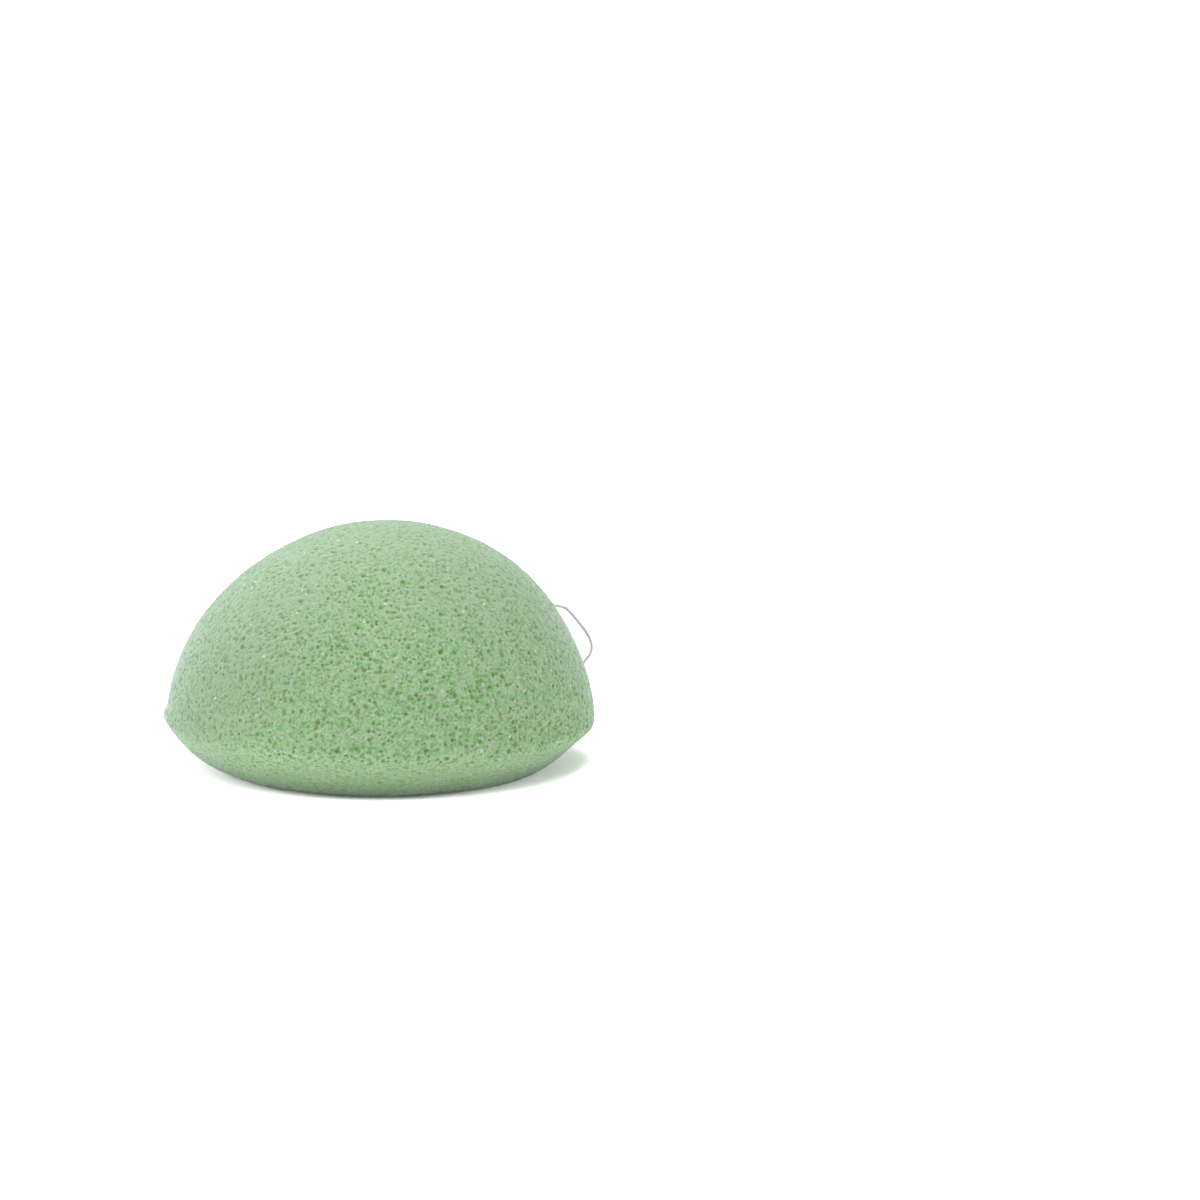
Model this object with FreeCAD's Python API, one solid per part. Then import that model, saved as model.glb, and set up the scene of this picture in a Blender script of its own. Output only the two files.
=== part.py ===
import FreeCAD, Part
import math
import os

from FreeCAD import Rotation, Vector

# Half-dome konjac sponge with a hanging loop of cotton thread.
# Millimetres, +Z up. The origin is on the table under the middle of the foam, with the loop behind it at +Y.

# Foam
rim_radius = 39.6
rim_height = 9.0
rim_round = 3.0
dome_height = 36.6
shoulder_share = 0.82
heel_radius = 23.5
press_depth = 0.5
lean_angle = 1.2

# Thread, and the straight needle track that it follows through the foam
thread_diameter = 0.8
thread_sides = 8
track_clearance = 0.05
track_offset_share = 0.796
track_height_share = 0.48
track_bearing = 61.0
track_rise = 2.0
stitch_proud = 1.9
lead_out = 5.5

# Knot that ties the two strands of the loop
knot_wraps = 3
knot_radius = 1.35
knot_waist = 1.05
knot_wrap_width = 1.4
knot_crest_share = 0.45
knot_bearing = 200.0
knot_x = -33.0
knot_y = 49.5
strand_clearance = 0.14
lead_in = 4.6
tail_first_run = 4.2
tail_second_run = 4.0
tail_spread = 24.0

# Laying out
floor_clearance = 0.05
bend_share = 0.45
overrun = 5.0

shoulder_round = shoulder_share * min(rim_radius, dome_height)
thread_radius = thread_diameter / 2
rest_height = thread_radius + floor_clearance
knot_height = knot_radius + floor_clearance
knot_length = knot_wraps * knot_wrap_width

# Loop route: where each strand falls from the foam and lies on the table, up to its knot
right_route = [
    (39.6, 19.4, 19.8),
    (38.8, 24.2, 12.2),
    (36.4, 29.4, 5.2),
    (30.5, 36.0, rest_height),
    (20.5, 45.5, rest_height),
    (7.0, 52.0, rest_height),
    (-8.0, 54.5, rest_height),
    (-20.0, 53.2, rest_height),
]
left_route = [
    (-10.2, 42.6, 20.3),
    (-13.6, 45.6, 12.6),
    (-17.6, 48.0, 5.2),
    (-21.6, 50.2, 1.2),
]


def bearing(degrees):
    return Vector(math.cos(math.radians(degrees)), math.sin(math.radians(degrees)), 0)


def on_arc(centre, radius, degrees):
    """Point of an upright arc, with its angle measured up from level."""
    angle = math.radians(degrees)
    return centre + Vector(radius * math.cos(angle), 0, radius * math.sin(angle))


def flank(edge_round, level_radius, rise):
    """Tangent arcs from the upright rim, a tight one and a broad one, to where the foam is level."""
    side = math.copysign(1, rise)
    reach = rim_radius - edge_round - level_radius
    broad_round = (reach ** 2 + rise ** 2 - edge_round ** 2) / (2 * (abs(rise) - edge_round))
    edge_centre = Vector(rim_radius - edge_round, 0, rim_height)
    broad_centre = Vector(level_radius, 0, rim_height + rise - side * broad_round)
    spread = edge_centre - broad_centre
    turn = math.degrees(math.atan2(spread.z, spread.x))
    rim = on_arc(edge_centre, edge_round, 0)
    join = on_arc(edge_centre, edge_round, turn)
    level = on_arc(broad_centre, broad_round, 90 * side)
    tight = Part.Arc(rim, on_arc(edge_centre, edge_round, turn / 2), join)
    broad = Part.Arc(join, on_arc(broad_centre, broad_round, (turn + 90 * side) / 2), level)
    return tight.toShape(), broad.toShape(), level


def make_foam():
    """Bun-shaped dome that leans a little and is pressed flat where it rests."""
    settle = heel_radius * math.tan(math.radians(lean_angle)) + press_depth
    rim_up, crown_arc, crown = flank(shoulder_round, 0, dome_height)
    rim_down, heel_arc, heel = flank(rim_round, heel_radius, -rim_height - settle)
    middle = Vector(0, 0, heel.z)
    outline = Part.Wire([
        Part.LineSegment(middle, heel).toShape(),
        heel_arc,
        rim_down,
        rim_up,
        crown_arc,
        Part.LineSegment(crown, middle).toShape(),
    ])
    foam = Part.Face(outline).revolve(Vector(0, 0, 0), Vector(0, 0, 1), 360)
    foam = foam.rotate(Vector(0, 0, rim_height), Vector(0, 1, 0), lean_angle)
    half = rim_radius + overrun
    below = Part.makeBox(2 * half, 2 * half, settle + overrun, Vector(-half, -half, -settle - overrun))
    return foam.cut(below)


def needle_track(foam):
    """Ends of the straight track through the foam, left then right, with its direction."""
    outward = bearing(track_bearing)
    along = Rotation(outward, -track_rise).multVec(bearing(track_bearing - 90))
    middle = outward * (rim_radius * track_offset_share)
    middle.z = rim_height + dome_height * track_height_share
    reach = rim_radius + overrun
    line = Part.makeLine(middle - along * reach, middle + along * reach)
    inside = foam.common(line).Edges[0]
    ends = sorted((vertex.Point for vertex in inside.Vertexes), key=lambda point: point.dot(along))
    return ends[0], ends[1], along


def thread_path(points, name):
    """Straight runs joined by tangent arcs, each as large as its two runs allow."""
    edges = []
    radii = []
    last = points[0]
    for before, corner, after in zip(points, points[1:], points[2:]):
        run_in = corner - before
        run_out = after - corner
        setback = bend_share * min(run_in.Length, run_out.Length)
        turn = run_in.getAngle(run_out)
        radius = setback / math.tan(turn / 2)
        run_in.normalize()
        run_out.normalize()
        inward = (run_out - run_in).normalize()
        arc_start = corner - run_in * setback
        arc_end = corner + run_out * setback
        arc_middle = corner + inward * (radius / math.cos(turn / 2) - radius)
        edges.append(Part.LineSegment(last, arc_start).toShape())
        edges.append(Part.Arc(arc_start, arc_middle, arc_end).toShape())
        radii.append(radius)
        last = arc_end
    edges.append(Part.LineSegment(last, points[-1]).toShape())
    print(name, "bend radii", [round(radius, 1) for radius in radii])
    return Part.Wire(edges)


def thread_section(centre, heading):
    """Closed outline of the thread, square to its heading, with flat sides."""
    turn = Rotation(Vector(0, 0, 1), heading)
    spokes = [bearing(360 * corner / thread_sides) * thread_radius for corner in range(thread_sides)]
    corners = [centre + turn.multVec(spoke) for spoke in spokes]
    return Part.makePolygon(corners + corners[:1])


def thread_tube(points, name):
    """Thread along its path, with its volume beside section times length."""
    path = thread_path(points, name)
    section = thread_section(points[0], points[1] - points[0])
    tube = path.makePipeShell([section], True, False)
    swept = Part.Face(section).Area * path.Length
    print(name, "length", round(path.Length, 1), "volume", round(tube.Volume, 2), "of", round(swept, 2))
    return tube


def make_knot(centre, heading, side):
    """Barrel of wraps with a flat face at each end, and the two cut tails that leave it."""
    start = -knot_length / 2
    crest_inset = knot_wrap_width * (1 - knot_crest_share) / 2
    outline = [Vector(0, 0, start), Vector(knot_waist, 0, start)]
    for wrap in range(knot_wraps):
        low = start + wrap * knot_wrap_width
        high = low + knot_wrap_width
        outline.append(Vector(knot_radius, 0, low + crest_inset))
        outline.append(Vector(knot_radius, 0, high - crest_inset))
        outline.append(Vector(knot_waist, 0, high))
    outline += [Vector(0, 0, -start), Vector(0, 0, start)]
    knot = Part.Face(Part.makePolygon(outline)).revolve(Vector(0, 0, 0), Vector(0, 0, 1), 360)
    knot.Placement = FreeCAD.Placement(centre, Rotation(Vector(0, 0, 1), heading))
    drop = Vector(0, 0, rest_height - knot_height)
    tails = []
    for name, sign in (("near tail", 1), ("far tail", -1)):
        root = centre + side * sign
        bend = root + heading * (knot_length / 2 + tail_first_run)
        tip = bend + Rotation(Vector(0, 0, 1), tail_spread * sign).multVec(heading) * tail_second_run + drop
        tails.append(thread_tube([root, bend, tip], name))
    return knot.fuse(tails).removeSplitter()


foam = make_foam()
left_exit, right_exit, along = needle_track(foam)
left_end = left_exit - along * stitch_proud
right_end = right_exit + along * stitch_proud
stitch_length = (right_end - left_end).Length

track_reach = along * overrun
track = Part.makeCylinder(
    thread_radius + track_clearance, stitch_length + 2 * overrun, left_end - track_reach, along)
stitch = Part.Face(thread_section(left_end, along)).extrude(along * stitch_length)

knot_centre = Vector(knot_x, knot_y, knot_height)
knot_heading = bearing(knot_bearing)
knot_side = bearing(knot_bearing + 90) * (thread_radius + strand_clearance / 2)
knot_entry = knot_centre - knot_heading * (knot_length / 2)

right_points = [right_end, right_end + along * lead_out]
right_points += [Vector(*point) for point in right_route]
right_points += [knot_entry - knot_side - knot_heading * lead_in, knot_entry - knot_side]
left_points = [left_end, left_end - along * lead_out]
left_points += [Vector(*point) for point in left_route]
left_points += [knot_entry + knot_side - knot_heading * lead_in, knot_entry + knot_side]

nodes = {
    "sponge_body": foam.cut(track),
    "thread_stitch": stitch,
    "loop_strand_right": thread_tube(right_points, "loop_strand_right"),
    "loop_strand_left": thread_tube(left_points, "loop_strand_left"),
    "loop_knot": make_knot(knot_centre, knot_heading, knot_side),
}

os.makedirs("parts", exist_ok=True)
for name, shape in nodes.items():
    box = shape.BoundBox
    print(name, "solids", len(shape.Solids), "valid", shape.isValid(), "volume", round(shape.Volume, 1))
    print("  x", round(box.XMin, 2), round(box.XMax, 2), "y", round(box.YMin, 2), round(box.YMax, 2),
          "z", round(box.ZMin, 2), round(box.ZMax, 2))
    shape.exportStep(os.path.join("parts", name + ".step"))
print("stitch from", left_end, "to", right_end, "along", along)
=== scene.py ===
import math

import bpy
import numpy as np
from mathutils import Matrix, Vector


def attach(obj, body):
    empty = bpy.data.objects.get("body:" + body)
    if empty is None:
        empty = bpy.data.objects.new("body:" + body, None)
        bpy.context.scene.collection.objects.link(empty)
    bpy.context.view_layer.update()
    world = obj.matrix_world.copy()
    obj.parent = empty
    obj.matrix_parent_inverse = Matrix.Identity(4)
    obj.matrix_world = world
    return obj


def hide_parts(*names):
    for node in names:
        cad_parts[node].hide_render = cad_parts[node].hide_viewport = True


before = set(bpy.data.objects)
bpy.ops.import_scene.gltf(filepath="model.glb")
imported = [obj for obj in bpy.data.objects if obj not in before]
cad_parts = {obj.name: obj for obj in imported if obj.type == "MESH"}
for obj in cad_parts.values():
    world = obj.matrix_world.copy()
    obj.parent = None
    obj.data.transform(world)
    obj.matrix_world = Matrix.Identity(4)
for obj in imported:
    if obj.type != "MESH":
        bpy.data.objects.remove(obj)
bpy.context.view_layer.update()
scene = bpy.context.scene

# Half-dome konjac sponge with a hanging loop of twisted cotton thread.
# Metres, +Z up. The sponge stands on the table at the origin, with its loop behind it at +Y.

# Foam, as in the solids
rim_radius = 0.0396
rim_height = 0.0090
rim_round = 0.0030
dome_height = 0.0366
shoulder_round = 0.0300
heel_radius = 0.0235
press_depth = 0.0005
lean = math.radians(1.2)

# Foam, what only a soft piece has
crown_drift = 0.0010
crown_drift_from = 0.024
crown_drift_to = 0.042
wobble = 0.00022
wobble_band = 0.0060
wobble_inset = 0.020
lip_reach = 0.0008
lip_rise = 0.0006
lip_band = 0.0013
lip_span = 0.45
heel_lift = 0.0010
heel_lift_level = 0.0040
heel_lift_band = 0.0030
heel_lift_bearing = -0.25
heel_lift_span = 0.60
heel_lift_run = 0.008
grid_cells = 240

# Bubbles of the foam: their size, their least and most radius as shares of it, the weakest depth,
# how few are deep, and a shift that sets each kind apart from the others
open_bubbles = dict(
    size=0.00118, least=0.24, most=0.58, weakest=0.30, skew=1.4, shift=(0.0, 0.0, 0.0))
mid_bubbles = dict(
    size=0.00084, least=0.28, most=0.60, weakest=0.40, skew=1.0, shift=(0.031, 0.017, 0.044))
fine_bubbles = dict(
    size=0.00056, least=0.26, most=0.66, weakest=0.10, skew=1.0, shift=(0.013, 0.052, 0.029))
hollow_bubbles = dict(
    size=0.0017, least=0.26, most=0.56, weakest=0.1, skew=1.2, shift=(0.072, 0.036, 0.019))
glint_bubbles = dict(
    size=0.0009, least=0.30, most=0.50, weakest=0.3, skew=1.0, shift=(0.057, 0.023, 0.008))
grain_shift = (0.041, 0.011, 0.063)
jitter_reach = 0.0004

# Colours of the foam and the cotton
wall_fresh = (0.282, 0.530, 0.238, 1)
wall_pale = (0.405, 0.515, 0.322, 1)
wall_under = (0.360, 0.533, 0.266, 1)
# Painted highlight along the rim
rim_painted_highlight = (0.440, 0.620, 0.360, 1)
strand_pale = (0.490, 0.637, 0.466, 1)
grain_deep = (0.225, 0.385, 0.160, 1)
hollow_deep = (0.195, 0.450, 0.130, 1)
# Painted shade: the next three colours are the deeper greens painted into the fine pores and the pores
fine_pore_shade = (0.185, 0.370, 0.115, 1)
pore_shade_green = (0.108, 0.275, 0.035, 1)
pore_shade_olive = (0.155, 0.255, 0.062, 1)
# Painted haze that stands in for sheen of light
painted_sheen_haze = (0.345, 0.466, 0.332, 1)
# Painted highlight of the wet glints
painted_wet_glint = (0.75, 0.82, 0.80, 1)
cotton_shade = (0.64, 0.635, 0.61, 1)
cotton_pale = (0.84, 0.835, 0.815, 1)
cotton_cloud = (0.74, 0.73, 0.70, 1)

# Thread
thread_radius = 0.0004
ply_count = 3
ply_radius = 0.00019
ply_pitch = 0.0026

# Ends of the stitch, left and right, a little proud of the foam
stitch_proud = 0.0019
stitch_left = (0.0013235, 0.0353067, 0.0260107)
stitch_right = (0.0278261, 0.0206161, 0.0270688)

# Routes of the two strands, from the stitch over the table to the knot
rest_height = 0.00045
knot_height = 0.0014
right_route = [
    stitch_right,
    (0.0331580, 0.0176606, 0.0272817),
    (0.0350, 0.0178, 0.0262),
    (0.0403, 0.0194, 0.0189),
    (0.0365, 0.0242, 0.0139),
    (0.0364, 0.0294, 0.0052),
    (0.0305, 0.0360, rest_height),
    (0.0205, 0.0455, rest_height),
    (0.0070, 0.0520, rest_height),
    (-0.0080, 0.0545, rest_height),
    (-0.0200, 0.0532, rest_height),
    (-0.0268648, 0.0522332, knot_height),
    (-0.0311874, 0.0506599, knot_height),
]
left_route = [
    stitch_left,
    (-0.0034840, 0.0379715, 0.0258187),
    (-0.0102, 0.0426, 0.0203),
    (-0.0136, 0.0456, 0.0126),
    (-0.0176, 0.0480, 0.0052),
    (-0.0216, 0.0502, 0.0012),
    (-0.0265433, 0.0513499, knot_height),
    (-0.0308659, 0.0497766, knot_height),
]

# Knot, wrapped round both strands, and the two tails that leave it
knot_centre = Vector((-0.0330, 0.0495, knot_height))
knot_heading = Vector((-0.9396926, -0.3420201, 0.0))
knot_side = Vector((0.00016075, -0.00044166, 0.0))
knot_half = 0.0021
wrap_radius = 0.00093
wrap_turns = 4
wrap_steps = 8
wrap_swell = 1.06
wrap_tuck_share = 0.08
wrap_tuck_radius = 0.55
tail_first = 0.0042
tail_second = 0.0040
tail_spread = math.radians(24)
tail_drop = -0.00095
tail_frayed = 0.0012


# ---------------------------------------------------------------- node helpers

def add(tree, kind, inputs=None, **settings):
    """A node with its settings, and its inputs given as values or as sockets to link."""
    node = tree.nodes.new(kind)
    for name, value in settings.items():
        setattr(node, name, value)
    for key, value in (inputs or {}).items():
        if isinstance(value, bpy.types.NodeSocket):
            tree.links.new(value, node.inputs[key])
        else:
            node.inputs[key].default_value = value
    return node


def maths(tree, operation, *values):
    node = add(tree, "ShaderNodeMath", dict(enumerate(values)), operation=operation)
    return node.outputs[0]


def ramp(tree, value, start, end, low=0.0, high=1.0):
    """Smooth step of a value from low at start to high at end."""
    node = add(tree, "ShaderNodeMapRange", {
        "Value": value, "From Min": start, "From Max": end, "To Min": low, "To Max": high},
        interpolation_type="SMOOTHSTEP")
    return node.outputs[0]


def vector_maths(tree, operation, *values):
    node = add(tree, "ShaderNodeVectorMath", dict(enumerate(values)), operation=operation)
    return node.outputs["Value"] if operation in ("DOT_PRODUCT", "LENGTH", "DISTANCE") else node.outputs[0]


def noise(tree, place, size, detail=2.0, roughness=0.5, output=0):
    """Noise of a given feature size at a place."""
    node = add(tree, "ShaderNodeTexNoise", {
        "Vector": place, "Scale": 1 / size, "Detail": detail, "Roughness": roughness},
        noise_dimensions="3D")
    return node.outputs[output]


def mix_colour(tree, factor, first, second):
    node = add(tree, "ShaderNodeMix", {0: factor, 6: first, 7: second}, data_type="RGBA")
    return node.outputs[2]


def scaled(tree, value, amount):
    return maths(tree, "MULTIPLY", value, amount)


def set_constants(shader, constants):
    for name, value in constants.items():
        shader.inputs[name].default_value = value


def shape_tree(name, sizes):
    """Empty Geometry Nodes tree with named inputs. Gives the tree, its input node and its input sockets."""
    tree = bpy.data.node_groups.new(name, "GeometryNodeTree")
    tree.interface.new_socket("Geometry", in_out="INPUT", socket_type="NodeSocketGeometry")
    tree.interface.new_socket("Geometry", in_out="OUTPUT", socket_type="NodeSocketGeometry")
    sockets = {}
    for label, (kind, value) in sizes.items():
        socket = tree.interface.new_socket(label, in_out="INPUT", socket_type=kind)
        if value is not None:
            socket.default_value = value
        sockets[label] = socket.identifier
    return tree, add(tree, "NodeGroupInput").outputs, sockets


def close_tree(tree, geometry, material):
    real = add(tree, "GeometryNodeRealizeInstances", {"Geometry": geometry})
    done = add(tree, "GeometryNodeSetMaterial", {"Geometry": real.outputs[0], "Material": material})
    add(tree, "NodeGroupOutput", {"Geometry": done.outputs[0]})


def grow(piece, tree, sockets, values):
    """Runs a tree on a piece and keeps the result as its plain mesh."""
    modifier = piece.modifiers.new(tree.name, "NODES")
    modifier.node_group = tree
    for label, value in values.items():
        modifier[sockets[label]] = value
    depsgraph = bpy.context.evaluated_depsgraph_get()
    mesh = bpy.data.meshes.new_from_object(
        piece.evaluated_get(depsgraph), preserve_all_data_layers=True, depsgraph=depsgraph)
    piece.modifiers.remove(modifier)
    rough = piece.data
    piece.data = mesh
    bpy.data.meshes.remove(rough)
    mesh.polygons.foreach_set("use_smooth", [True] * len(mesh.polygons))
    mesh.name = piece.name
    return piece


def new_piece(name, points, faces=(), edges=()):
    mesh = bpy.data.meshes.new(name)
    mesh.from_pydata(points, edges, faces)
    piece = bpy.data.objects.new(name, mesh)
    scene.collection.objects.link(piece)
    return piece


# ---------------------------------------------------------------- camera

camera = bpy.data.objects.new("front_camera", bpy.data.cameras.new("front_camera"))
camera.data.sensor_width = 36.0
camera.data.lens = 88.275
camera.data.clip_start = 0.01
camera.location = (0.04081, -0.54129, 0.11045)
camera.rotation_euler = (math.radians(90 - 8.366), 0, 0)
scene.collection.objects.link(camera)
scene.camera = camera


# ---------------------------------------------------------------- finishes

def bubbles(tree, place, size, least, most, weakest, skew, shift):
    """Round bubbles of one size cut open by the skin: how deep one is at a place, from 0 to 1, a chance
    of its own, and how far the place is from its middle as a share of its radius."""
    place = vector_maths(tree, "ADD", place, shift)
    cell = add(tree, "ShaderNodeTexVoronoi", {"Vector": place, "Scale": 1 / size},
               voronoi_dimensions="3D", feature="F1")
    chance = add(tree, "ShaderNodeSeparateXYZ", {"Vector": cell.outputs["Color"]}).outputs
    radius = maths(tree, "MULTIPLY_ADD", chance["X"], most - least, least)
    share = maths(tree, "DIVIDE", cell.outputs["Distance"], radius)
    bowl = ramp(tree, share, 1.0, 0.35)
    strength = maths(tree, "MULTIPLY_ADD", maths(tree, "POWER", chance["Y"], skew), 1 - weakest, weakest)
    return maths(tree, "MULTIPLY", bowl, strength), chance["Z"], share


def foam_cells_at(tree, place):
    """Foam at a place: open pores, fine pores, shallow hollows and the spots painted as wet glint
    highlights, each from 0 to 1, its height above the rim, and how far it is on the smoother underside."""
    axis = (math.sin(lean), 0.0, math.cos(lean))
    height = maths(tree, "SUBTRACT", vector_maths(tree, "DOT_PRODUCT", place, axis), rim_height)
    under = ramp(tree, height, 0.0002, -0.0030)

    jitter = noise(tree, place, 0.0008, 2.0, 0.6, output=1)
    jitter = vector_maths(tree, "SUBTRACT", jitter, (0.5, 0.5, 0.5))
    jitter = vector_maths(tree, "MULTIPLY", jitter, (jitter_reach, jitter_reach, jitter_reach))
    squash = maths(tree, "MULTIPLY", scaled(tree, under, 0.9), height)
    squash = add(tree, "ShaderNodeCombineXYZ", {"Z": squash}).outputs[0]
    place = vector_maths(tree, "ADD", vector_maths(tree, "ADD", place, jitter), squash)

    open_pore, _, _ = bubbles(tree, place, **open_bubbles)
    mid_pore, _, _ = bubbles(tree, place, **mid_bubbles)
    thinned = maths(tree, "MULTIPLY_ADD", under, -0.20, 1.0)
    pore = maths(tree, "MAXIMUM", open_pore, scaled(tree, mid_pore, 0.85))
    pore = maths(tree, "MULTIPLY", pore, thinned)

    fine_pore, _, _ = bubbles(tree, place, **fine_bubbles)
    hollow, _, _ = bubbles(tree, place, **hollow_bubbles)
    _, luck, share = bubbles(tree, place, **glint_bubbles)
    glint = maths(tree, "MULTIPLY", ramp(tree, luck, 0.972, 0.982), ramp(tree, share, 1.0, 0.4))
    return pore, fine_pore, hollow, glint, height, under


def foam_finish():
    """Damp plant-fibre foam: pale walls, painted shade in the pores, a soft edge, a painted haze on the
    crown and left side, a painted highlight along the rim and a few painted wet glints.
    """
    material = bpy.data.materials.new("konjac_foam")
    material.use_nodes = True
    tree = material.node_tree
    shader = tree.nodes["Principled BSDF"]
    place = add(tree, "ShaderNodeAttribute", attribute_name="foam_place").outputs["Vector"]
    pore, fine, hollow, glint, height, under = foam_cells_at(tree, place)

    cloud = noise(tree, place, 0.0012, 3.0, 0.65)
    strand = noise(tree, place, 0.00050, 2.0, 0.60)
    grain = noise(tree, vector_maths(tree, "ADD", place, grain_shift), 0.00038, 2.0, 0.60)
    wall = mix_colour(tree, ramp(tree, cloud, 0.34, 0.66), wall_fresh, wall_pale)
    wall = mix_colour(tree, scaled(tree, under, 0.5), wall, wall_under)
    # Painted highlight: a pale band at the rim, just below its crease, where it catches the light
    above_rim = ramp(tree, height, 0.0012, -0.0002)
    below_rim = ramp(tree, height, -0.0022, -0.0004)
    rim_highlight_band = maths(tree, "MULTIPLY", above_rim, below_rim)
    wall = mix_colour(tree, scaled(tree, rim_highlight_band, 0.50), wall, rim_painted_highlight)
    wall = mix_colour(tree, ramp(tree, strand, 0.42, 0.66, 0.0, 0.75), wall, strand_pale)
    wall = mix_colour(tree, ramp(tree, grain, 0.56, 0.36, 0.0, 0.35), wall, grain_deep)
    wall = mix_colour(tree, scaled(tree, hollow, 0.75), wall, hollow_deep)
    # Painted shade: the fine pores are painted a darker green
    wall = mix_colour(tree, scaled(tree, fine, 0.75), wall, fine_pore_shade)
    # Painted shade: the pores are painted a deeper green than the walls, on top of the shade their depth
    # casts
    pore_painted_shade = mix_colour(tree, ramp(tree, cloud, 0.45, 0.65), pore_shade_green, pore_shade_olive)
    colour = mix_colour(tree, scaled(tree, pore, 0.95), wall, pore_painted_shade)

    # Painted haze: a pale veil over the pores stands in for sheen of light on the crown and the left side,
    # is weaker on the right and elsewhere, and a little covers the underside
    haze_left = vector_maths(tree, "DOT_PRODUCT", place, (-1.0, 0.0, 0.9))
    haze_right = vector_maths(tree, "DOT_PRODUCT", place, (0.45, 0.0, 0.9))
    painted_haze = maths(tree, "MAXIMUM", haze_left, haze_right)
    painted_haze = maths(tree, "MULTIPLY_ADD", noise(tree, place, 0.006, 2.0), 0.010, painted_haze)
    painted_haze = ramp(tree, painted_haze, 0.029, 0.049, 0.0, 0.45)
    colour = mix_colour(tree, maths(tree, "MAXIMUM", painted_haze, scaled(tree, under, 0.2)), colour, painted_sheen_haze)
    # Painted highlights: rare spots are painted near white as wet glints
    colour = mix_colour(tree, scaled(tree, glint, 0.55), colour, painted_wet_glint)
    tree.links.new(colour, shader.inputs["Base Color"])

    fibre = noise(tree, place, 0.00022, 3.0, 0.65)
    rough = maths(tree, "MULTIPLY_ADD", fibre, 0.25, 0.62)
    rough = maths(tree, "MULTIPLY_ADD", glint, -0.45, rough)
    tree.links.new(rough, shader.inputs["Roughness"])
    relief = maths(tree, "MULTIPLY_ADD", fine, -0.6, fibre)
    bump = add(tree, "ShaderNodeBump", {"Height": relief, "Strength": 0.5, "Distance": 0.00012})
    tree.links.new(bump.outputs[0], shader.inputs["Normal"])
    set_constants(shader, {
        "Specular IOR Level": 0.3,
        "Subsurface Weight": 0.50,
        "Subsurface Radius": (0.9, 1.2, 0.8),
        "Subsurface Scale": 0.0014,
        "Sheen Weight": 1.0,
        "Sheen Roughness": 0.25,
        "Sheen Tint": (0.86, 0.92, 1.0, 1),
    })
    return material


def cotton_finish():
    """Undyed twisted cotton, with fibres that run along each ply."""
    material = bpy.data.materials.new("cotton_thread")
    material.use_nodes = True
    tree = material.node_tree
    shader = tree.nodes["Principled BSDF"]
    along = add(tree, "ShaderNodeAttribute", attribute_name="thread_along").outputs["Fac"]
    around = add(tree, "ShaderNodeAttribute", attribute_name="ply_around").outputs["Fac"]
    place = add(tree, "ShaderNodeTexCoord").outputs["Object"]
    slant = maths(tree, "MULTIPLY_ADD", along, 900.0, scaled(tree, around, 9.0))
    fibre_place = add(tree, "ShaderNodeCombineXYZ", {"X": scaled(tree, along, 350.0), "Y": slant})
    fibre = noise(tree, fibre_place.outputs[0], 1.0, 3.0, 0.6)
    cloud = noise(tree, place, 0.003, 2.0)
    colour = mix_colour(tree, ramp(tree, fibre, 0.25, 0.75), cotton_shade, cotton_pale)
    colour = mix_colour(tree, scaled(tree, cloud, 0.3), colour, cotton_cloud)
    tree.links.new(colour, shader.inputs["Base Color"])
    tree.links.new(maths(tree, "MULTIPLY_ADD", fibre, 0.2, 0.7), shader.inputs["Roughness"])
    bump = add(tree, "ShaderNodeBump", {"Height": fibre, "Strength": 0.6, "Distance": 0.00004})
    tree.links.new(bump.outputs[0], shader.inputs["Normal"])
    set_constants(shader, {
        "Specular IOR Level": 0.3,
        "Subsurface Weight": 1.0,
        "Subsurface Radius": (1.0, 1.0, 1.0),
        "Subsurface Scale": 0.0015,
        "Sheen Weight": 0.3,
        "Sheen Roughness": 0.5,
    })
    return material


foam_material = foam_finish()
thread_material = cotton_finish()


# ---------------------------------------------------------------- thread

def read_line(name, points, steps):
    """Points of the smooth line that a route's points steer."""
    curve = bpy.data.curves.new(name, "CURVE")
    curve.dimensions = "3D"
    spline = curve.splines.new("NURBS")
    spline.points.add(len(points) - 1)
    for point, place in zip(spline.points, points):
        point.co = (*place, 1)
    spline.order_u = 3
    spline.use_endpoint_u = True
    spline.resolution_u = steps
    line = bpy.data.objects.new(name, curve)
    scene.collection.objects.link(line)
    depsgraph = bpy.context.evaluated_depsgraph_get()
    mesh = bpy.data.meshes.new_from_object(line.evaluated_get(depsgraph), depsgraph=depsgraph)
    places = [tuple(vertex.co) for vertex in mesh.vertices]
    bpy.data.objects.remove(line)
    bpy.data.curves.remove(curve)
    bpy.data.meshes.remove(mesh)
    return places


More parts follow.
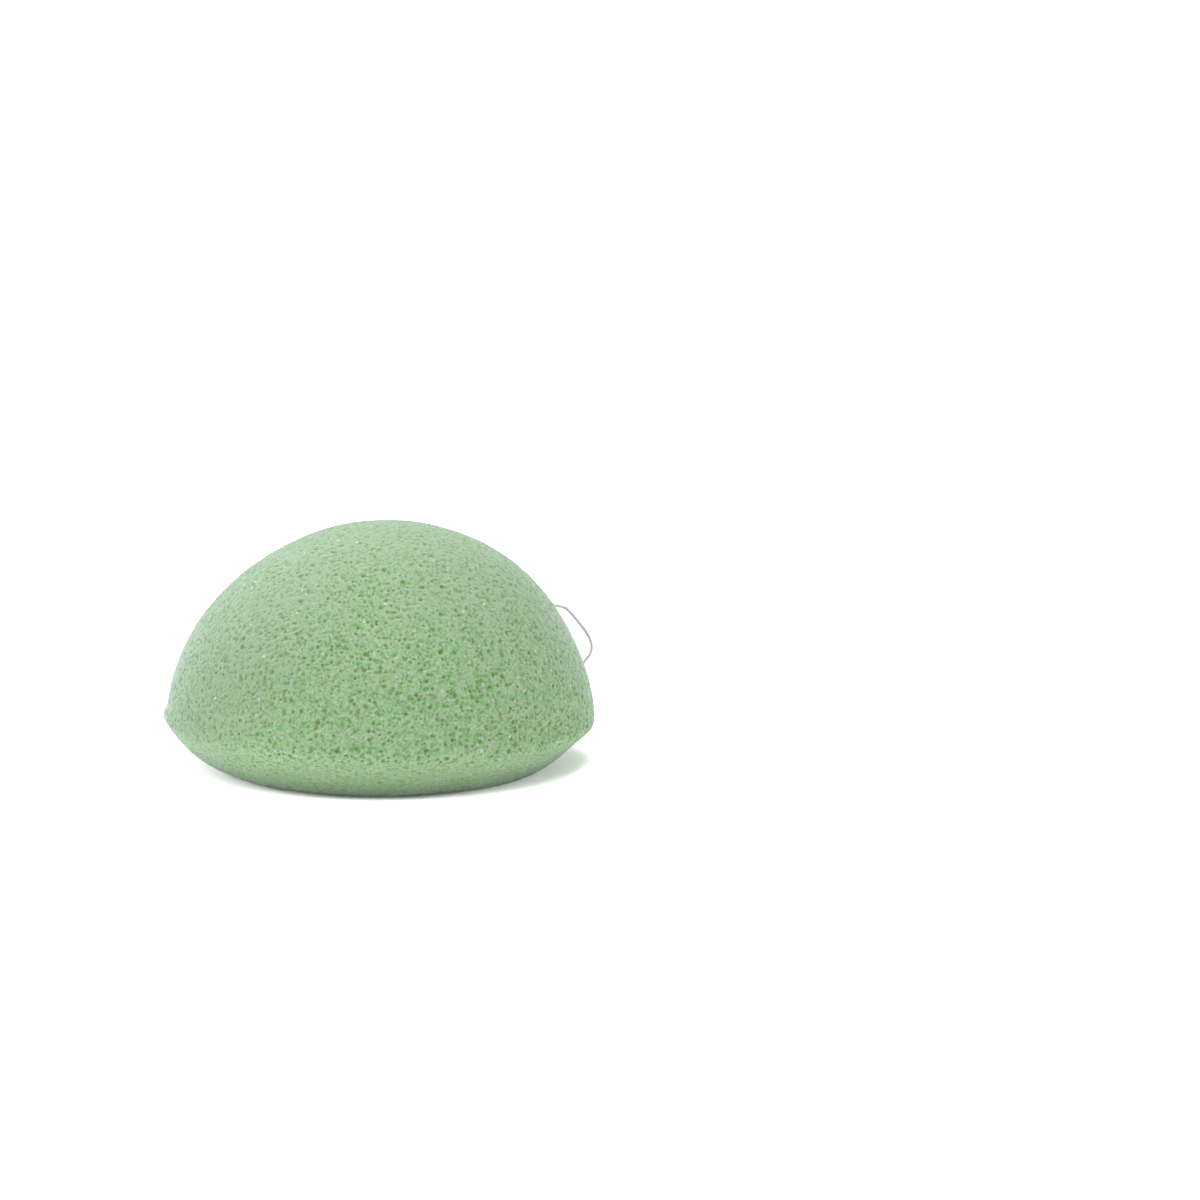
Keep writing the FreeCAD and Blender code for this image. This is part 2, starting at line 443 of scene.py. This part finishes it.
def thread_tree():
    """Plies laid round a line and twisted along it."""
    tree, given, sockets = shape_tree("twisted_thread", {
        "Plies": ("NodeSocketInt", ply_count),
        "Ply Radius": ("NodeSocketFloat", ply_radius),
        "Thread Radius": ("NodeSocketFloat", thread_radius),
        "Pitch": ("NodeSocketFloat", ply_pitch),
        "Frayed Length": ("NodeSocketFloat", 0.0),
        "Material": ("NodeSocketMaterial", None),
    })
    line = add(tree, "GeometryNodeMeshToCurve", {"Mesh": given["Geometry"]}).outputs[0]
    run = add(tree, "GeometryNodeSplineParameter")
    turn = maths(tree, "DIVIDE", run.outputs["Length"], given["Pitch"])
    turn = scaled(tree, turn, 2 * math.pi)
    line = add(tree, "GeometryNodeSetCurveTilt", {"Curve": line, "Tilt": turn}).outputs[0]
    total = add(tree, "GeometryNodeSplineLength").outputs["Length"]
    left = maths(tree, "SUBTRACT", total, run.outputs["Length"])
    flare = add(tree, "ShaderNodeMapRange", {
        "Value": left, "From Min": 0.0, "From Max": given["Frayed Length"], "To Min": 1.45, "To Max": 1.0})
    line = add(tree, "GeometryNodeSetCurveRadius", {"Curve": line, "Radius": flare.outputs[0]}).outputs[0]
    line = add(tree, "GeometryNodeStoreNamedAttribute", {
        "Geometry": line, "Name": "thread_along", "Value": run.outputs["Length"]},
        data_type="FLOAT", domain="POINT").outputs[0]

    reach = maths(tree, "SUBTRACT", given["Thread Radius"], given["Ply Radius"])
    ring = add(tree, "GeometryNodeMeshCircle", {"Vertices": given["Plies"], "Radius": reach}).outputs[0]
    ply = add(tree, "GeometryNodeCurvePrimitiveCircle", {
        "Resolution": 9, "Radius": given["Ply Radius"]}).outputs[0]
    ply = add(tree, "GeometryNodeStoreNamedAttribute", {
        "Geometry": ply, "Name": "ply_around",
        "Value": add(tree, "GeometryNodeSplineParameter").outputs["Factor"]},
        data_type="FLOAT", domain="POINT").outputs[0]
    plies = add(tree, "GeometryNodeInstanceOnPoints", {"Points": ring, "Instance": ply}).outputs[0]
    section = add(tree, "GeometryNodeRealizeInstances", {"Geometry": plies}).outputs[0]
    sweep = add(tree, "GeometryNodeCurveToMesh", {
        "Curve": line, "Profile Curve": section, "Fill Caps": True})
    close_tree(tree, sweep.outputs[0], given["Material"])
    return tree, sockets


twist, twist_sockets = thread_tree()


def thread_piece(name, lines, frayed=0.0):
    """Twisted thread along one line or more, as one piece."""
    points = []
    edges = []
    for line in lines:
        first = len(points)
        points += line
        edges += [(first + step, first + step + 1) for step in range(len(line) - 1)]
    piece = new_piece(name, points, edges=edges)
    return grow(piece, twist, twist_sockets, {"Frayed Length": frayed, "Material": thread_material})


right_line = read_line("right_line", right_route, 80)
left_line = read_line("left_line", left_route, 60)
strand_right = thread_piece("loop_thread_right", [right_line])
strand_left = thread_piece("loop_thread_left", [left_line])

stitch_way = (Vector(stitch_right) - Vector(stitch_left)).normalized()
stitch_middle = tuple((Vector(stitch_left) + Vector(stitch_right)) / 2)
stitch_line = read_line("stitch_line", [stitch_left, stitch_middle, stitch_right], 90)
stitch = thread_piece("sewn_thread", [stitch_line])


def knot_lines():
    """Wraps of the knot, and the two strands that run through it and end as tails."""
    upright = Vector((0, 0, 1))
    across = knot_heading.cross(upright)
    half_run = knot_heading * (knot_half - thread_radius)
    wraps = []
    count = wrap_turns * wrap_steps
    for step in range(count + 1):
        share = step / count
        angle = 2 * math.pi * wrap_turns * share
        tuck = min(share, 1 - share, wrap_tuck_share) / wrap_tuck_share
        radius = wrap_radius * (wrap_tuck_radius + (1 - wrap_tuck_radius) * tuck) * wrap_swell
        offset = across * (radius * math.cos(angle)) + upright * (radius * math.sin(angle))
        wraps.append(tuple(knot_centre + half_run * (2 * share - 1) + offset))
    lines = [read_line("wrap_line", wraps, 10)]
    for sign in (1, -1):
        root = knot_centre + knot_side * sign
        bend = root + knot_heading * (knot_half + tail_first)
        turned = Matrix.Rotation(tail_spread * sign, 3, "Z") @ knot_heading
        tip = bend + turned * tail_second + Vector((0, 0, tail_drop))
        tail = [root - knot_heading * knot_half, root, root + knot_heading * knot_half, bend, tip]
        lines.append(read_line("tail_line", [tuple(point) for point in tail], 40))
    return lines


knot = thread_piece("tied_knot", knot_lines(), frayed=tail_frayed)


# ---------------------------------------------------------------- foam

def foam_outline():
    """Profile of the foam from its crown to the middle of its underside, as radius and height."""
    def flank(edge_round, level_radius, rise):
        side = math.copysign(1, rise)
        reach = rim_radius - edge_round - level_radius
        broad = (reach ** 2 + rise ** 2 - edge_round ** 2) / (2 * (abs(rise) - edge_round))
        edge_middle = (rim_radius - edge_round, rim_height)
        broad_middle = (level_radius, rim_height + rise - side * broad)
        turn = math.atan2(edge_middle[1] - broad_middle[1], edge_middle[0] - broad_middle[0])
        tight = np.linspace(0, turn, 200)
        wide = np.linspace(turn, side * math.pi / 2, 500)[1:]
        radius = np.concatenate([
            edge_middle[0] + edge_round * np.cos(tight), broad_middle[0] + broad * np.cos(wide)])
        height = np.concatenate([
            edge_middle[1] + edge_round * np.sin(tight), broad_middle[1] + broad * np.sin(wide)])
        return radius, height

    settle = heel_radius * math.tan(lean) + press_depth
    up_radius, up_height = flank(shoulder_round, 0.0, dome_height)
    down_radius, down_height = flank(rim_round, heel_radius, -rim_height - settle)
    flat_radius = np.linspace(heel_radius, 0, 200)[1:]
    radius = np.concatenate([up_radius[::-1], down_radius[1:], flat_radius])
    height = np.concatenate([up_height[::-1], down_height[1:], np.full(len(flat_radius), -settle)])
    return np.maximum(radius, 0), height


def step_up(value, start, end):
    """Smooth step of an array from 0 at start to 1 at end."""
    share = np.clip((value - start) / (end - start), 0, 1)
    return share * share * (3 - 2 * share)


def bell(value, middle, width):
    return np.exp(-((value - middle) / width) ** 2)


def foam_skin():
    """Smooth skin of the foam: a cube's six grids laid over the leaning bun, each with a square map."""
    cells = grid_cells
    grid = np.arange(cells + 1)
    column, row = np.meshgrid(grid, grid, indexing="ij")
    far = np.full_like(column, cells)
    near = np.zeros_like(column)
    sides = [
        (column, row, far), (row, column, near),
        (far, column, row), (near, row, column),
        (row, far, column), (column, near, row),
    ]
    keys = np.stack([(x * (cells + 1) + y) * (cells + 1) + z for x, y, z in sides])
    unique, index = np.unique(keys, return_inverse=True)
    index = index.reshape(keys.shape)
    z = unique % (cells + 1)
    y = (unique // (cells + 1)) % (cells + 1)
    x = unique // (cells + 1) ** 2
    spots = np.tan((np.stack([x, y, z], -1) / cells * 2 - 1) * math.pi / 4)
    spots /= np.linalg.norm(spots, axis=1, keepdims=True)

    radius, height = foam_outline()
    run = np.hypot(np.diff(radius), np.diff(height))
    area = np.concatenate([[0], np.cumsum(run * (radius[1:] + radius[:-1]))])
    wanted = (1 - spots[:, 2]) / 2 * area[-1]
    ring = np.interp(wanted, area, radius)
    level = np.interp(wanted, area, height)
    theta = np.arctan2(spots[:, 1], spots[:, 0])

    near_rim = bell(level, rim_height, wobble_band)
    at_lip = bell(level, rim_height + lip_rise, lip_band)
    left_side = bell(np.abs(theta), math.pi, lip_span)
    in_out = np.sin(2 * theta + 1.0) + 0.6 * np.sin(5 * theta + 0.4)
    ring = ring + near_rim * wobble * in_out * step_up(ring, 0.0, wobble_inset)
    ring = ring + at_lip * left_side * lip_reach
    right_heel = bell(level, heel_lift_level, heel_lift_band) * (ring > heel_radius)
    right_heel = right_heel * bell(theta, heel_lift_bearing, heel_lift_span)
    up_down = 1.2 * np.sin(3 * theta + 2.1)
    level = level + near_rim * wobble * up_down * step_up(ring, 0.0, wobble_inset)
    level = level + right_heel * heel_lift * step_up(ring, heel_radius, heel_radius + heel_lift_run)

    flat_x = ring * np.cos(theta)
    place_y = ring * np.sin(theta)
    place_x = flat_x * math.cos(lean) + (level - rim_height) * math.sin(lean)
    place_z = rim_height - flat_x * math.sin(lean) + (level - rim_height) * math.cos(lean)
    place_x = place_x + crown_drift * step_up(place_z, crown_drift_from, crown_drift_to)
    place_z = np.maximum(place_z, 0.0)
    places = np.stack([place_x, place_y, place_z], -1)

    corners = [index[:, :-1, :-1], index[:, 1:, :-1], index[:, 1:, 1:], index[:, :-1, 1:]]
    faces = np.stack(corners, -1).reshape(-1, 4)
    tile = np.arange(6).reshape(6, 1, 1)
    share_u = grid[None, :, None] / cells * 0.98 + 0.01
    share_v = grid[None, None, :] / cells * 0.98 + 0.01
    map_u = np.broadcast_to((tile % 3 + share_u) / 3, keys.shape)
    map_v = np.broadcast_to((tile // 3 + share_v) / 2, keys.shape)
    maps = np.stack([map_u, map_v], -1)
    around = [maps[:, :-1, :-1], maps[:, 1:, :-1], maps[:, 1:, 1:], maps[:, :-1, 1:]]
    loop_maps = np.stack(around, 3).reshape(-1, 2)

    mesh = bpy.data.meshes.new("foam")
    mesh.vertices.add(len(places))
    mesh.vertices.foreach_set("co", places.astype(np.float32).ravel())
    mesh.loops.add(faces.size)
    mesh.loops.foreach_set("vertex_index", faces.astype(np.int32).ravel())
    mesh.polygons.add(len(faces))
    mesh.polygons.foreach_set("loop_start", np.arange(0, faces.size, 4, dtype=np.int32))
    mesh.uv_layers.new(name="OFBake")
    mesh.uv_layers["OFBake"].data.foreach_set("uv", loop_maps.astype(np.float32).ravel())
    mesh.polygons.foreach_set("use_smooth", [True] * len(faces))
    mesh.update(calc_edges=True)
    piece = bpy.data.objects.new("foam_dome", mesh)
    scene.collection.objects.link(piece)
    return piece


def pore_tree():
    """Opens pores in the foam's skin and gives it lumps, a grain and dimples where the thread leaves it."""
    tree, given, sockets = shape_tree("foam_pores", {
        "Pore Depth": ("NodeSocketFloat", 0.00030),
        "Fine Depth": ("NodeSocketFloat", 0.00008),
        "Hollow Depth": ("NodeSocketFloat", 0.00015),
        "Grain Size": ("NodeSocketFloat", 0.00055),
        "Grain Depth": ("NodeSocketFloat", 0.00022),
        "Lump Size": ("NodeSocketFloat", 0.011),
        "Lump Depth": ("NodeSocketFloat", rest_height),
        "Dimple Depth": ("NodeSocketFloat", 0.0007),
        "Dimple Radius": ("NodeSocketFloat", 0.0016),
        "Material": ("NodeSocketMaterial", None),
    })
    place = add(tree, "GeometryNodeInputPosition").outputs[0]
    skin = add(tree, "GeometryNodeStoreNamedAttribute", {
        "Geometry": given["Geometry"], "Name": "foam_place", "Value": place},
        data_type="FLOAT_VECTOR", domain="POINT").outputs[0]
    pore, fine, hollow, *_ = foam_cells_at(tree, place)
    depth = maths(tree, "MULTIPLY", pore, given["Pore Depth"])
    depth = maths(tree, "MULTIPLY_ADD", fine, given["Fine Depth"], depth)
    depth = maths(tree, "MULTIPLY_ADD", hollow, given["Hollow Depth"], depth)
    for kind in ("Lump", "Grain"):
        scale = maths(tree, "DIVIDE", 1.0, given[kind + " Size"])
        swell = add(tree, "ShaderNodeTexNoise", {"Vector": place, "Scale": scale, "Detail": 1.5}).outputs[0]
        swell = maths(tree, "SUBTRACT", swell, 0.5)
        depth = maths(tree, "MULTIPLY_ADD", swell, given[kind + " Depth"], depth)
    left_exit = Vector(stitch_left) + stitch_way * stitch_proud
    right_exit = Vector(stitch_right) - stitch_way * stitch_proud
    for exit_place in (left_exit, right_exit):
        gap = vector_maths(tree, "DISTANCE", place, tuple(exit_place))
        dimple = ramp(tree, maths(tree, "DIVIDE", gap, given["Dimple Radius"]), 1.0, 0.0)
        depth = maths(tree, "MULTIPLY_ADD", dimple, given["Dimple Depth"], depth)
    inward = vector_maths(tree, "SCALE", add(tree, "GeometryNodeInputNormal").outputs[0])
    tree.links.new(scaled(tree, depth, -1.0), inward.node.inputs["Scale"])
    moved = vector_maths(tree, "ADD", place, inward)
    moved = vector_maths(tree, "MAXIMUM", moved, (-1.0, -1.0, 0.0))
    skin = add(tree, "GeometryNodeSetPosition", {"Geometry": skin, "Position": moved}).outputs[0]
    close_tree(tree, skin, given["Material"])
    return tree, sockets


foam = foam_skin()
foam = grow(foam, *pore_tree(), {"Material": foam_material})


# ---------------------------------------------------------------- floor and light

def stage_floor():
    """White table top, a hair below the sponge."""
    material = bpy.data.materials.new("pale_floor")
    material.use_nodes = True
    shader = material.node_tree.nodes["Principled BSDF"]
    shader.inputs["Base Color"].default_value = (0.93, 0.93, 0.93, 1)
    shader.inputs["Roughness"].default_value = 0.8
    shader.inputs["Specular IOR Level"].default_value = 0.1
    half = 4.0
    drop = -0.00003
    corners = [(-half, -half, drop), (half, -half, drop), (half, half, drop), (-half, half, drop)]
    floor = new_piece("floor", corners, [(0, 1, 2, 3)])
    floor.data.materials.append(material)
    return floor


def soft_light(name, place, power, colour=(1, 1, 1)):
    """Round softbox that faces the sponge."""
    lamp = bpy.data.lights.new(name, "AREA")
    lamp.shape = "DISK"
    lamp.size = 0.8
    lamp.energy = power
    lamp.color = colour
    light = bpy.data.objects.new(name, lamp)
    light.location = place
    light.rotation_euler = (Vector((0, 0, 0.02)) - Vector(place)).to_track_quat("-Z", "Y").to_euler()
    scene.collection.objects.link(light)


def floor_light(name, power, spread, tilt, turn):
    """Broad light that only the floor takes, so that it stays white round the sponge. Angles in degrees."""
    lamp = bpy.data.lights.new(name, "SUN")
    lamp.angle = math.radians(spread)
    lamp.energy = power
    light = bpy.data.objects.new(name, lamp)
    light.rotation_euler = (math.radians(tilt), 0, math.radians(turn))
    scene.collection.objects.link(light)
    lit = bpy.data.collections.new(name)
    lit.objects.link(floor)
    light.light_linking.receiver_collection = lit
    return lamp


def white_studio():
    """Sky that is white round the horizon and dark above it, where the softboxes hang."""
    world = bpy.data.worlds.new("white_studio")
    world.use_nodes = True
    tree = world.node_tree
    sky = tree.nodes["Background"]
    way = add(tree, "ShaderNodeTexCoord").outputs["Generated"]
    height = add(tree, "ShaderNodeSeparateXYZ", {"Vector": way}).outputs["Z"]
    sky.inputs["Color"].default_value = (1, 1, 1, 1)
    tree.links.new(ramp(tree, height, 0.20, 0.32, 1.05, 0.0), sky.inputs["Strength"])
    scene.world = world


floor = stage_floor()
white_studio()
soft_light("top_softbox", (0.0, 0.05, 0.90), 8.0)
soft_light("back_softbox", (-0.40, 0.65, 0.60), 4.2, (0.90, 0.90, 1.0))
soft_light("front_softbox", (-0.25, -0.75, 0.60), 2.2)
floor_light("floor_bounce", 1.1, 180, 0, 0)
for name, power, tilt, turn in (
        ("floor_white_front", 3.6, 38, -8),
        ("floor_white_left", 4.5, 65, -80),
        ("floor_white_right", 2.4, 65, 80)):
    floor_white = floor_light(name, power, 30, tilt, turn)
    floor_white.cycles.max_bounces = 0
    floor_white.cycles.use_multiple_importance_sampling = False
scene.view_settings.view_transform = "Standard"


# ---------------------------------------------------------------- bodies

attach(foam, "sponge")
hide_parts("sponge_body")

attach(stitch, "sponge")
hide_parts("thread_stitch")

for piece, node in (
        (strand_right, "loop_strand_right"), (strand_left, "loop_strand_left"), (knot, "loop_knot")):
    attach(piece, "hanging_loop")
    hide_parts(node)
